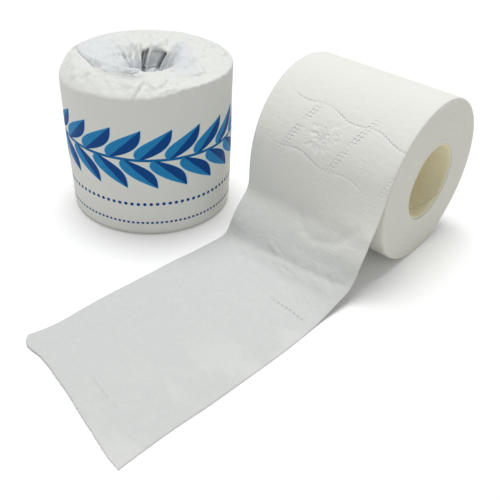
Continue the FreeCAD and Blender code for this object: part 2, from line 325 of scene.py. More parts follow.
def patternPlace(look, across, along):
    # Place across from a dotted row, height above a wave's middle line and the wave's phase, as numbers or
    # as shader values
    up = along - look["waveTop"]
    phase = (across - look["waveStart"] - up * look["waveLean"]) * (2 * pi / look["wavePeriod"])
    return across - up * look["dotSlant"] - look["dotRow"], up - across * look["waveSlant"], phase


def makeTissueFinish(look):
    finish = Finish(bpy.data.materials.new("tissue"))
    web = finish.node("Attribute", {"attribute_name": "web"}, out=1)
    across, along, fromEnd = finish.split(web)
    slanted, level, phase = patternPlace(look, across, along)
    # Double rows of dots that climb between the waves
    fromRow = abs(abs(slanted.repeat(look["dotRowGap"])) - look["dotPair"])
    stepAlong = along.repeat(look["dotPitch"])
    dotReach = (fromRow * fromRow + stepAlong * stepAlong).math("SQRT")
    dots = dotReach.below(look["dotSize"], 0.7)
    # The waves, beaded like a string of dots
    fromWave = (level - phase.math("SINE") * look["waveSwing"]).repeat(look["waveGap"])
    beadStep = across.repeat(look["dotPitch"])
    beadReach = (fromWave * fromWave + beadStep * beadStep).math("SQRT")
    beads = beadReach.below(0.8, 0.7)
    line = abs(fromWave).below(0.65, 0.9)
    # Dots only in the lower part of each gap between two waves
    dots = dots * fromWave.math("GREATER_THAN", 0.0).math("MAXIMUM", abs(fromWave).below(12.5, 3.0)) * (
        1 - abs(fromWave).below(0.8, 0.8))
    # A rosette between the dotted rows
    drawn = finish.grain(web, 0.16, 2.0) - 0.5
    sideways = finish.grain(finish.join(along, across, 7.0), 0.19, 2.0) - 0.5
    petalSide = (slanted - look["dotRowGap"] / 2).repeat(look["dotRowGap"]) + sideways * 8.0
    petalUp = (level + look["waveGap"] / 2).repeat(look["waveGap"]) + drawn * 8.0
    petalReach = (petalSide * petalSide + petalUp * petalUp).math("SQRT")
    petalTurn = petalUp.math("ARCTAN2", petalSide)
    petals = (petalTurn * look["petalCount"]).math("COSINE") * 0.5 + 0.5
    petals *= petalReach.below(look["petalReach"], 3.5) * (1 - petalReach.below(look["petalStart"], 0.8))
    heart = petalReach.repeat(look["heartPitch"]).below(0.0, 0.8) * petalReach.below(look["heartReach"], 0.6)
    petals = (petals + heart) * (0.15 + abs(across + 2.0).below(17.0, 8.0) * 0.85)
    # The pattern is crisp only where the web was pressed hardest
    patchy = finish.grain(web, 0.045, 2.0)
    (middleX, middleUp), (reachX, reachUp) = look["embossMiddle"], look["embossReach"]
    crisp = abs(across - middleX).below(reachX, 26.0) * abs(along - middleUp).below(reachUp, 9.0)
    pressed = (crisp * 0.9 + 0.10) * (0.65 + patchy.below(0.62, 0.3) * 0.35)
    broken = (finish.grain(web, 0.35, 1.0).below(0.55, 0.25) * 0.55 + 0.25) * (
        finish.grain(web, 0.055, 1.0).below(0.5, 0.10) * 0.65 + 0.35)
    uneasy = finish.grain(web, 0.22, 2.0).below(0.56, 0.2) * 0.8 + 0.25
    embossed = (dots * 1.1 + beads * 0.85 + line * broken * 0.4 + petals * uneasy * 0.75) * pressed
    # Crepe: fine lines across the web, broken by fibre
    crepePlace = finish.join(across * 0.25, along, 0.0)
    crepe = finish.grain(crepePlace, 1.9, 3.0, 0.6)
    fibre = finish.grain(web, 2.6, 4.0, 0.65)
    cockle = finish.grain(web, 0.22, 3.0, 0.55)
    # Perforation: short slots, and the pressed line near the torn end
    wander = finish.grain(finish.join(across, 0.0, 0.0), 0.05, 1.0) * 3.0 - 1.5
    fromPerf = abs(along - look["perforation"] - wander)
    slot = fromPerf.below(0.45, 0.4) * abs(across.repeat(look["slotPitch"])).below(0.85, 0.35)
    slot = slot * (1 - across.below(18.0, 12.0) * 0.92) * across.below(41.5, 5.0)
    fromStrip = abs(fromEnd - across * look["stripSlant"] - look["stripLine"] - wander)
    strip = fromStrip.below(0.6, 0.8) * (0.3 + finish.grain(web, 0.28, 2.0).below(0.5, 0.12) * 0.7) * (
        0.2 + abs(across - 9.0).below(13.0, 9.0) * 0.8)
    pattern = embossed * -0.42 + crepe * 0.035 + fibre * 0.05 + cockle * 0.32
    height = pattern - slot * 0.30 - strip * 0.16
    # Painted shade on the part of the tail that hangs from the roll
    hanging = finish.blend(along.below(-31.0, 46.0), look["rollColour"], look["bendShadeColour"])
    uneven = finish.blend(finish.grain(web, 0.03, 2.0).below(0.47, 0.12) * across.below(20.0, -60.0),
                          look["tailColour"], look["paleColour"])
    plain = finish.blend(along.below(-68.0, 22.0), hanging, uneven)
    # Painted shade in a band along the groove at the bend
    plain = finish.blend(abs(along + 55.0).below(7.0, 9.0) * 0.6, plain, look["grooveShadeColour"])
    mottled = finish.blend(fibre.below(0.40, 0.3) * 0.25 + cockle.below(0.42, 0.2) * 0.12, plain,
                           look["mottleColour"])
    # Painted highlight: the pressed dots, beads, waves and petals are whitened where the pattern is crisp
    pale = finish.blend(embossed * crisp * 0.7, mottled, look["embossHighlightColour"])
    # Painted shade in the perforation slots and along the pressed strip line near the torn end
    marked = finish.blend(slot * 0.45 + strip * 0.13, pale, look["slotAndStripShadeColour"])
    finish.surface(marked, height, roughness=0.95, reflection=0.15)
    return finish


def makeFaceFinish(look):
    # The end faces and the turns under the outermost one
    finish = Finish(bpy.data.materials.new("turns"))
    centred = finish.centred((0, 0, -axisHeight * mm))
    along, across, up = finish.split(centred)
    radius = (across * across + up * up).math("SQRT") * metre
    turnAngle = up.math("ARCTAN2", across)
    rings = finish.grain(finish.join(radius, turnAngle * 0.35, along * 30.0), 2.4, 4.0, 0.7)
    bands = finish.grain(finish.join(radius, turnAngle * 0.15, 3.0), 0.45, 2.0, 0.5)
    fuzz = finish.grain(centred, 1700.0, 3.0, 0.6)
    height = rings * 0.16 + bands * 0.22 + fuzz * 0.07
    base = finish.blend(rings.below(0.46, 0.25) * 0.28 + bands.below(0.45, 0.2) * 0.18,
                        look["faceColour"], look["bandColour"])
    finish.surface(base, height, roughness=0.97, reflection=0.1)
    return finish


tissueFinish = makeTissueFinish(tissueLook)
faceFinish = makeFaceFinish(tissueLook)
print("tissue finishes made")


# Core tube: spiral-wound board with softly rounded lips
coreSize = {
    "bore": 23.5, "lip": 0.45, "rings": 140, "steps": 40, "seamPitch": 62.0, "seamStart": 6.0,
    "clearance": 0.02,    # left free between the core and the winding
    "board": (1.0, 0.965, 0.76), "blotch": (0.97, 0.915, 0.69), "fleck": (0.72, 0.66, 0.45),
    "seam": (0.42, 0.38, 0.25), "cutEdge": (0.90, 0.86, 0.68),
}


def makeCoreFinish(size):
    finish = Finish(bpy.data.materials.new("coreBoard"))
    centred = finish.centred((0, 0, -axisHeight * mm))
    along, across, up = finish.split(centred)
    turnShare = up.math("ARCTAN2", across) * (1 / (2 * pi))
    seam = (along * metre - turnShare * size["seamPitch"] + size["seamStart"]).repeat(size["seamPitch"])
    seamLine = abs(seam).below(0.35, 0.5)
    fibre = finish.grain(centred, 900.0, 4.0, 0.65)
    blotch = finish.grain(centred, 90.0, 3.0, 0.6)
    board = finish.blend(blotch.below(0.5, 0.35), size["board"], size["blotch"])
    flecked = finish.blend(fibre.below(0.42, 0.16) * 0.22, board, size["fleck"])
    lined = finish.blend(seamLine * 0.22, flecked, size["seam"])
    cutEdge = abs(along * metre).math("GREATER_THAN", coreHigh.x - 0.30)
    edged = finish.blend(cutEdge, lined, size["cutEdge"])
    height = fibre * 0.10 + blotch * 0.10 - seamLine * 0.22
    finish.surface(edged, height, roughness=0.82, reflection=0.25)
    return finish


def makeCoreTube(size):
    bore, outside, end, lip = size["bore"], coreOutside - size["clearance"], coreHigh.x, size["lip"]
    steps = size["steps"]
    rim = [(-end + lip, bore), (-end, bore + lip), (-end, outside - lip), (-end + lip, outside)]
    outer = [(lerp(-end + lip, end - lip, number / steps), outside) for number in range(1, steps)]
    inner = [(lerp(end - lip, -end + lip, number / steps), bore) for number in range(1, steps)]
    mirrored = [(-x, r) for x, r in reversed(rim)]
    profile = [(x, 0, r) for x, r in rim + outer + mirrored + inner]
    mesh = spinProfile(profile, (1, 0, 0), size["rings"])
    for vert in mesh.verts:
        turn = atan2(vert.co.z, vert.co.y)
        # Slightly out of round inside the clearance that a spindle needs
        ease = 0.06 * wobble(vert.co.x * 0.03, cos(turn) * 1.5, sin(turn) * 1.5)
        reach = hypot(vert.co.y, vert.co.z)
        vert.co.y *= (reach + ease) / reach
        vert.co.z *= (reach + ease) / reach
        vert.co = Vector((vert.co.x, vert.co.y, vert.co.z + axisHeight)) * mm
    bmesh.ops.recalc_face_normals(mesh, faces=mesh.faces)
    finishPiece(mesh, "coreTube", makeCoreFinish(size), "core_tube")


makeCoreTube(coreSize)


# Winding: every turn but the outermost, with the fine steps that the turns leave at both ends
windingSize = {
    "under": 0.5, "rim": 1.3, "end": 49.85, "faceRows": 44, "rings": 240, "step": 0.16, "bow": 0.22,
    "foot": 0.36,
}


def makeWinding(size):
    outside = rollRadius - size["under"]
    inside, end, rim = coreOutside + coreSize["clearance"], size["end"], size["rim"]
    face = [(end, lerp(inside, outside - rim, number / size["faceRows"]))
            for number in range(size["faceRows"] + 1)]
    rounded = [(end - rim + rim * cos(radians(turn)), outside - rim + rim * sin(radians(turn)))
               for turn in (22, 45, 68, 90)]
    rightHalf = face + rounded
    leftHalf = [(-x, r) for x, r in reversed(rightHalf)]
    mesh = spinProfile([(x, 0, r) for x, r in rightHalf + leftHalf], (1, 0, 0), size["rings"])
    for vert in mesh.verts:
        reach = hypot(vert.co.y, vert.co.z)
        turn = atan2(vert.co.z, vert.co.y)
        if abs(vert.co.x) > end - 0.2:
            # Turns stand a little in or out of each other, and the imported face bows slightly
            turns = wobble(reach * 0.9, 0.6 * cos(turn), 0.6 * sin(turn) + vert.co.x)
            slow = wobble(cos(turn), sin(turn), reach * 0.06 + vert.co.x)
            vert.co.x += (turns * size["step"] + slow * size["bow"]) * (1 if vert.co.x > 0 else -1)
        vert.co.z = max(vert.co.z + axisHeight, size["foot"])
        vert.co *= mm
    bmesh.ops.recalc_face_normals(mesh, faces=mesh.faces)
    finishPiece(mesh, "tissueWinding", faceFinish, "tissue_roll")


makeWinding(windingSize)


# The outermost turn and the loose tail: one sheet of tissue, from its torn end to where it is wound under
sheetSize = {
    "thickness": 0.30, "halfWidth": 49.5, "columns": 99,
    "leave": 30.0,        # degrees above the front line where the tail leaves the roll
    "fineEnd": 130.0,     # degrees above it where the fine rows end and the hidden coarse ones begin
    "wound": 8.0,         # degrees past a full turn where the web's inner end lies
    "tailRows": 246, "fineStep": 1.0, "coarseStep": 2.6, "under": 0.40,
    "landing": (21.0, 33.0), "hollow": 3.0, "ripple": 1.3, "lift": 1.3,
    "waveDepth": 0.09, "pillow": 0.20, "edgeRound": 0.75, "floorGap": 0.02,
    # Cockles of the loose part: height, how fast they change across and along, and which noise
    "cockles": ((0.30, 0.07, 0.045, 7), (0.18, 0.2, 0.13, 3)),
}
# Where both edges of the tail run: way out from the roll's front, and place across
leftEdge = [
    (0, -49.5), (22, -49.7), (38, -50.3), (51, -51.2), (64, -52.0), (76, -53.4), (88, -54.4), (99, -55.2),
    (111, -56.3), (122, -57.0), (133, -57.3), (142, -57.0), (149, -56.3), (153.5, -56.3), (157, -57.9),
    (160, -59.3), (163.5, -60.0), (167, -59.7), (172, -59.0),
]
rightEdge = [
    (0, 49.5), (20, 48.3), (40, 46.8), (49, 46.8), (61, 47.2), (75, 46.9), (88, 46.7), (99, 46.0),
    (109, 45.0), (119, 44.7), (129, 44.1), (138, 43.4), (148, 41.9), (157, 40.8), (165, 40.4),
    (181, 40.1), (189, 39.7),
]
# Where the torn end lies: share of the width, and way out
tornEnd = [
    (0, 166.0), (0.012, 168.0), (0.028, 169.9), (0.055, 171.0), (0.09, 171.2), (0.13, 171.0),
    (0.17, 171.0), (0.235, 171.8), (0.3, 173.0), (0.36, 174.3), (0.456, 176.3), (0.529, 178.0),
    (0.596, 179.8), (0.665, 181.5), (0.735, 183.0), (0.8, 184.7), (0.865, 186.3), (0.93, 187.6),
    (1.0, 188.3),
]
# Where the sheet still follows the roll: degrees above the front line, and a share of its underside's radius
leavingRows = [(50, 1.0), (46.67, 1.0017), (40, 1.0040), (30, 1.0051), (20, 1.0051), (10, 1.0051)]
# Left height, left out, right height, right out, hollow: shares of the axis height and the landings
hangingRows = [
    (0.86, 0.04, 0.88, 0.12, 0.2), (0.66, 0.00, 0.73, 0.27, 0.7), (0.52, 0.05, 0.60, 0.31, 1.0),
    (0.39, 0.37, 0.44, 0.47, 1.0), (0.23, 0.72, 0.25, 0.54, 0.6), (0.08, 0.87, 0.15, 0.72, 0.2),
    (0.00, 1.05, 0.11, 0.93, 0.0),
]
# Place along the table, and the ripple's height at five places across
lyingRows = [
    (0.06, (0, 0.1, 0.4, 0.6, 0.4)), (0.18, (0.1, 0, 0.3, 0.2, 0)), (0.32, (0.7, 0.5, 0, 0.1, 0.1)),
    (0.48, (0.2, 0.6, 0.7, 0.2, 0)), (0.64, (0.1, 0.2, 0.1, 0.6, 0.1)), (0.80, (0.4, 0.1, 0.3, 0.3, 0)),
    (0.91, (0.2, 0, 0.6, 0.1, 0)), (1.00, (0, 0.1, 0.3, 0.2, 0)),
]
# How much of the torn end's lift each of these rows has, and how the lift fades from the left edge on
liftRows = (0, 0, 0, 0, 0, 0.06, 0.38, 1.0)
liftAcross = (1.0, 0.42, 0.08, 0, 0)
# Soft folds on the tail: (across, along) from and to, height, width
tailFolds = [
    # The groove along the bend, and the swelling below it
    ((-47, -58), (-18, -56), -0.3, 2.6), ((-24, -56), (15, -51.5), -0.6, 2.4),
    ((10, -52), (49.5, -47), -0.75, 2.7), ((-42, -64), (44, -53), 0.5, 3.4),
    # Puckers beside it
    ((-20, -50.5), (-5, -55.5), -0.28, 1.2), ((-16, -48), (-3, -52.5), 0.32, 1.4),
    ((-1, -57), (11, -58.5), -0.4, 1.2), ((-12, -48), (2, -52), -0.28, 1.0),
    ((-6, -55), (6, -57), 0.3, 1.0), ((-8, -58.5), (4, -61), -0.3, 1.1),
    ((1, -60.5), (14, -61.5), 0.35, 1.5), ((1, -51), (8, -58), 0.35, 1.3),
    ((14, -51), (23, -57), -0.4, 1.4), ((26, -52), (36, -58), 0.35, 1.6),
    ((-30, -60), (-18, -66), 0.35, 1.8), ((30, -47), (40, -52), -0.35, 1.3),
    # The slack curve higher up
    ((-11, -19), (3, -31), -0.5, 3.2), ((0, -30.5), (16, -33.5), -0.7, 3.0),
    ((12, -33), (31, -27), -0.7, 3.0), ((27, -28.5), (41, -12), -0.55, 3.2),
    ((8, -22), (24, -20), 0.4, 6.0), ((-44, -26), (-18, -20), -0.4, 4.0),
    # The lying part
    ((-26, -68), (30, -74), 0.35, 3.0), ((-30, -100), (20, -150), 0.35, 6.0),
    ((0, -110), (45, -160), 0.3, 7.0), ((33, -200), (37, -176), -0.4, 2.2),
    ((-10, -196), (36, -199), 0.25, 3.0),
]


def sheetControl(size, share):
    # The spline's control points for one column of the tail's underside
    across = share * (len(liftAcross) - 1)
    inner = rollRadius - size["thickness"]

    def placed(out, height):
        x = lerp(readTable(out, leftEdge), readTable(out, rightEdge), share)
        return Vector((x, -rollRadius - out, height))

    points = []
    x = lerp(-size["halfWidth"], size["halfWidth"], share)
    for angle, factor in leavingRows:
        turn = radians(angle)
        points.append(Vector((x, -inner * factor * cos(turn), axisHeight + inner * factor * sin(turn))))
    for leftHeight, leftOut, rightHeight, rightOut, fullness in hangingRows:
        belly = size["hollow"] * fullness * sin(pi * share)
        out = lerp(leftOut * size["landing"][0], rightOut * size["landing"][1], share) - belly
        height = axisHeight * lerp(leftHeight, rightHeight, share)
        points.append(placed(out, height))
    start, reach = lerp(*size["landing"], share) * 1.1, readTable(share, tornEnd)
    cell = min(int(across), len(liftAcross) - 2)
    part = smooth(across - cell, 0, 1)
    fade = lerp(liftAcross[cell], liftAcross[cell + 1], part)
    for (place, heights), lifted in zip(lyingRows, liftRows):
        height = lerp(heights[cell], heights[cell + 1], part)
        raised = size["ripple"] * height + size["lift"] * lifted * fade
        points.append(placed(lerp(start, reach, place), raised))
    return points


def tailColumn(size, share, rows):
    # Even steps along one column, from the torn end up to where the sheet leaves the roll
    control = sheetControl(size, share)
    spans = len(control) - 3
    fine = 400
    dense = [splinePoint(control, 2 + (spans - 2) * number / fine) for number in range(fine + 1)]
    lengths = runningLengths(dense)
    total, column, cursor = lengths[-1], [], fine
    for row in range(rows + 1):
        wanted = total * (1 - row / rows)
        while cursor > 0 and lengths[cursor - 1] > wanted:
            cursor -= 1
        low = max(cursor - 1, 0)
        part = (wanted - lengths[low]) / max(lengths[low + 1] - lengths[low], 1e-9)
        column.append((dense[low].lerp(dense[low + 1], part), -wanted))
    return column


def embossHeight(look, size, across, along):
    # Waves pressed in and pillows left standing, on the roll and fading down the tail
    slanted, level, phase = patternPlace(look, across, along)
    away = fromNearest(level - sin(phase) * look["waveSwing"], look["waveGap"])
    side = fromNearest(slanted, look["dotRowGap"])
    pillow = smooth(away, 0, 9) * smooth(side, 0, 9)
    pressed = bump(away, 1.25) + 0.45 * bump(side, 1.8)
    (middleX, middleUp), (reachX, reachUp) = look["embossMiddle"], look["embossReach"]
    crisp = smooth(abs(across - middleX), reachX + 13, reachX - 13)
    crisp *= smooth(abs(along - middleUp), reachUp + 4.5, reachUp - 4.5)
    strength = (0.14 + 0.86 * crisp) * (0.8 + 0.5 * wobble(across * 0.03 + 4, along * 0.03, 0))
    return (size["pillow"] * pillow - size["waveDepth"] * pressed) * strength


def tailMove(size, across, along):
    # Folds and cockles of the loose tail
    height = 0.0
    place = Vector((across, along, 0))
    for start, end, tall, wide in tailFolds:
        away, share = segmentDistance(place, start, end)
        height += tall * bump(away, wide) * smooth(share, -0.01, 0.2) * smooth(share, 1.01, 0.8)
    loose = smooth(-along, 12, 45)
    for tall, perAcross, perAlong, layer in size["cockles"]:
        height += loose * tall * wobble(across * perAcross, along * perAlong, layer)
    return height


def turnPoint(size, across, angle):
    # A point on the underside of the outermost turn, which goes under itself at its inner end
    reach = rollRadius - size["thickness"] - size["under"] * smooth(angle, 285, 365)
    turn = radians(angle)
    return Vector((across, -reach * cos(turn), axisHeight + reach * sin(turn)))


def makeTissueSheet(size, look):
    arc = rollRadius * pi / 180
    fineRows = ceil((size["fineEnd"] - size["leave"]) * arc / size["fineStep"])
    coarseRows = ceil((360 - size["fineEnd"] - size["wound"]) * arc / size["coarseStep"])
    tailRows, columns = size["tailRows"], size["columns"]
    rows = tailRows + fineRows + coarseRows
    lower = [tailColumn(size, number / columns, tailRows) for number in range(columns + 1)]
    leaveAlong = size["leave"] * arc
    mesh = bmesh.new()
    web = mesh.verts.layers.float_vector.new("web")
    bmesh.ops.create_grid(mesh, x_segments=columns, y_segments=rows, size=0.5)
    cells = [(round((vert.co.x + 0.5) * columns), round((vert.co.y + 0.5) * rows)) for vert in mesh.verts]
    places = {}
    for column, row in cells:
        across = lerp(-size["halfWidth"], size["halfWidth"], column / columns)
        if row <= tailRows:
            point, along = lower[column][row]
            places[(column, row)] = (point, along + leaveAlong)
        else:
            angle = lerp(size["leave"], size["fineEnd"], (row - tailRows) / fineRows)
            if row > tailRows + fineRows:
                share = (row - tailRows - fineRows) / coarseRows
                angle = lerp(size["fineEnd"], 360 + size["wound"], share)
            places[(column, row)] = (turnPoint(size, across, angle), angle * arc)
    for vert, (column, row) in zip(mesh.verts, cells):
        point, along = places[(column, row)]
        across = lerp(-size["halfWidth"], size["halfWidth"], column / columns)
        left, right = places[(max(column - 1, 0), row)][0], places[(min(column + 1, columns), row)][0]
        down, up = places[(column, max(row - 1, 0))][0], places[(column, min(row + 1, rows))][0]
        normal = (right - left).cross(up - down).normalized()
        onRoll = smooth(along, -14, 16)
        raised = size["thickness"] + embossHeight(look, size, across, along) * (0.12 + 0.88 * onRoll)
        if row <= tailRows:
            raised += tailMove(size, across, along)
        # On the roll both edges round off
        raised -= size["edgeRound"] * smooth(abs(across), 47.6, 50.2) * smooth(along, -4, 22)
        point = point + normal * raised
        if row == 0:
            # The torn edge keeps small nibs between its slots
            nib = -0.06 if column % 3 == 0 else 0.05
            point.y += 0.25 * wobble(across * 0.35, 0, 2) + nib
        onTable = along < 0 and point.y < -30
        point.z = max(point.z, size["floorGap"] + (size["thickness"] if onTable else 0))
        vert[web] = Vector((across, along, along - places[(column, 0)][1]))
        vert.co = point * mm
    sheet = finishPiece(mesh, "tissueSheet", tissueFinish, "tissue_roll")
    wall = sheet.modifiers.new("ply", "SOLIDIFY")
    wall.thickness, wall.offset, wall.use_even_offset = size["thickness"] * mm, -1, True
    length = (360 + size["wound"] - size["leave"]) * arc - lower[columns // 2][0][1]
    print("sheet length", round(length, 1), "mm, rows", rows)
    length * mm


makeTissueSheet(sheetSize, tissueLook)


# Sealed roll: one wrapper of thin paper, its ends gathered and tucked into the core
wrapSize = {
    "top": 100.4, "rings": 372, "topStep": 0.62, "sideStep": 2.6, "seamAngle": 152.0, "twist": 1.1,
    "outlineSteps": 1600,
    "rim": 100.5,           # the outline's height before the folds lower it
    "creaseHeight": 1.75,   # what the creases' heights are multiplied by
    "leftSlope": 5.6, "sag": 2.4, "leftPinch": 1.2, "hollowDepth": 0.7, "crinkle": 0.40,
    "hollowStart": (-6, -36), "hollowEnd": (19, -28.5), "hollowShade": 0.36,
    "footPleats": 13, "footDepth": 1.5,
    "slack": 0.40, "fineSlack": 0.12, "bulge": 1.7, "bulgeAngle": -133, "lap": 0.30,
}
# The wrapper's outline: distance from the middle, and height
wrapOutline = [
    (0, 14), (4, 14), (9, 12), (12, 6), (15, 1.6), (20, 0.2), (25, 0), (32, 0), (40, 0), (46, 0), (50, 0),
    (52.4, 0.1), (53.7, 1.0), (54, 3), (54, 8), (54, 18), (54, 35), (54, 52), (54, 68), (54, 80),
    (54, 88), (54, 94), (54, 97.6), (53.95, 99.2), (53.7, 100.0), (53.1, 100.4), (52.0, 100.5),
    (49, 100.5), (45, 100.5), (40, 100.5), (34, 100.5), (28, 100.4), (23.5, 100.2), (20.2, 99.4),
    (17.9, 97.8), (16.4, 95.2), (15.2, 92), (14.0, 88), (12.6, 84), (11.0, 80), (9.0, 76.5), (5.5, 73.8),
    (2.5, 73), (0, 73),
]
# How high the fold at the top's rim lies, by angle
rimHeight = [
    (-180, 98.0), (-161, 97.4), (-150, 96), (-141, 94), (-131, 91.6), (-121, 90.6), (-108, 91.2),
    (-95, 92.2), (-80, 94), (-58, 94.3), (-46, 95.3), (-35, 96.4), (-28, 97.9), (-20, 99.4), (-9, 99.9),
    (0, 100), (27, 99.4), (60, 98.8), (120, 98.6), (160, 98.4), (180, 98.0),
]
# Creases and pleats on the top, seen from above: from and to, height, width at both ends
topCreases = [
    # Pleats that run into the mouth from the left
    ((-36, 1), (-12, -5), -1.3, 1.0, 0.9), ((-29, -3), (-12, -6.5), 1.0, 1.4, 0.9),
    ((-27, -3), (-12.5, -4), -1.4, 1.0, 0.8), ((-27, 1.5), (-12.5, -3), 1.1, 1.3, 0.8),
    ((-25, 2.5), (-12.5, -2.5), -1.5, 1.0, 0.8), ((-26, 6), (-13, -1.5), 1.1, 1.1, 0.8),
    ((-24, 8.5), (-13, -1), -2.3, 1.7, 1.1), ((-22, 13), (-14.5, 2), 1.8, 1.6, 1.5),
    ((-25, -10), (-13, -9), -0.7, 1.2, 0.9), ((-30, -8), (-12, -9), 0.5, 2.0, 1.0),
    ((-20, -17), (-10, -12), -0.5, 1.4, 1.0), ((-40, 12), (-20, 9), 0.35, 1.2, 0.9),
    ((-38, 20), (-18, 14), -0.35, 1.0, 0.8), ((-30, 30), (-14, 16), 0.4, 1.0, 0.8),
    # Folds at the back
    ((-20, 42), (-9, 20), 0.35, 1.0, 0.8), ((-8, 46), (-5, 22), -0.35, 0.9, 0.8),
    ((8.5, 48.3), (19.6, 26), 0.4, 1.0, 1.0), ((-3, 44), (-2, 24), 0.35, 0.9, 0.9),
    ((20, 46), (30, 33), 0.3, 0.9, 0.9), ((-2, 20), (3, 31), 0.7, 1.2, 1.6),
    ((3, 24), (8, 22), 0.5, 1.0, 1.0), ((-4, 21), (-9, 27), -0.4, 0.8, 1.2),
    # Folds at the front and the right
    ((33.7, -43.1), (28.7, -28.7), 0.9, 0.7, 0.7), ((35.2, -43), (30.2, -28.5), -0.8, 0.7, 0.7),
    ((28.7, -28.7), (40.5, -29.4), 0.8, 0.7, 0.7), ((39.1, -27.4), (36.8, -17.2), 0.75, 0.7, 0.7),
    ((33, -20), (43, -25), -0.5, 0.8, 0.8), ((40, -12), (47, -18), 0.5, 0.8, 0.8),
    ((42, -30), (48, -20), 0.5, 0.9, 0.9), ((2.8, -40.6), (13.3, -32.8), 0.7, 1.8, 1.5),
    ((13.3, -32.8), (22.8, -23.6), 0.75, 1.5, 1.6), ((-30, -30), (-12, -41), 0.3, 1.6, 1.6),
    ((20, -46), (10, -38), 0.3, 1.2, 1.2), ((44, 6), (30, 14), 0.3, 1.4, 1.2),
    ((24, 30), (36, 24), 0.35, 1.0, 1.2), ((46, -14), (36, -8), 0.35, 1.0, 1.0),
    ((30, -36), (22, -40), 0.3, 0.8, 0.8),
    # The valley in front of the tuck's free edge, and the crest beyond it
    ((-16, -34), (18, -26), -1.9, 2.4, 3.6), ((4, -36.5), (26, -28), 0.5, 1.6, 2.0),
]
# Crevices and ridges down the mouth's wall: angle, depth outwards, half width in degrees, first and last
# depth, shade
wallFolds = [
    (136.5, 4.4, 2.6, 1.0, 17, 0.85), (144, 5.2, 3.4, 1.4, 19, 1.0), (153, -1.9, 4.2, 0.5, 21, 0.0),
    (131, -1.5, 1.9, 0.8, 18, 0.0), (116, 3.4, 12.0, 1.2, 13, 0.42), (102, 5.2, 4.2, 1.8, 15, 0.88),
    (92, -1.8, 2.6, 0.2, 14, 0.0), (83, 1.3, 3.4, 1.0, 12, 0.05), (74, -1.0, 4.0, 0.6, 12, 0.0),
    (62, 1.0, 3.6, 1.0, 12, 0.0), (50, -0.9, 4.4, 0.6, 12, 0.0), (160, 1.2, 3.2, 3.0, 16, 0.12),
    (168, -0.9, 3.6, 2.0, 16, 0.0), (176, 0.9, 3.4, 3.0, 16, 0.1),
]
lobe = {"start": (0, 27), "end": (39, -7), "height": 3.9, "narrow": 5.5, "wide": 9.0}


def lobeShape(place):
    # The puffed fold beside the hole: its height share, and the distance outwards from its crest
    start, end = Vector((*lobe["start"], 0)), Vector((*lobe["end"], 0))
    run = end - start
    share = (place - start).dot(run) / run.length_squared
    outward = Vector((-run.y, run.x, 0)).normalized()
    away = (place - start).dot(outward)
    wide = lerp(lobe["narrow"], lobe["wide"], min(max(share, 0), 1))
    wide *= 1.0 if away > 0 else 0.62
    ends = smooth(share, -0.12, 0.16) * smooth(share, 1.15, 0.72)
    return bump(away, wide) * ends, away, share


def turnAway(angle, other):
    # How far an angle is past another, between -180 and 180
    return (angle - other + 180) % 360 - 180


def topRise(place, radius):
    # Folds of the gathered top, as seen from straight above
    rise = 0.0
    for start, end, tall, wideStart, wideEnd in topCreases:
        apart, part = segmentDistance(place, start, end)
        if apart < 6:
            fold = bump(apart, lerp(wideStart, wideEnd, part)) * (0.35 + 0.65 * sin(pi * part) ** 0.7)
            rise += tall * wrapSize["creaseHeight"] * fold
    crumple = abs(noise.noise(place * 0.115 + Vector((3, 1, 0)))) * 1.1 - 0.55
    crumple += (abs(noise.noise(place * 0.29 + Vector((0, 5, 2)))) - 0.2) * 0.6
    return rise + crumple * smooth(radius, 14, 22) * (1 - 0.6 * smooth(radius, 48, 53))


def wallPush(angle, depth):
    # Folds that hang down the mouth's wall: the way outwards, and the shade
    push, paintedShade = 0.0, 0.0
    turned = angle - wrapSize["twist"] * depth
    for middle, deep, wide, first, last, shade in wallFolds:
        fold = bump(turnAway(turned, middle), wide * 1.3)
        fold *= smooth(depth, first - 0.8, first + 1.6) * smooth(depth, last, last - 3)
        push += deep * fold
        paintedShade = max(paintedShade, shade * fold)
        if shade == 0.0:
            paintedShade *= 1 - fold
    return push, paintedShade


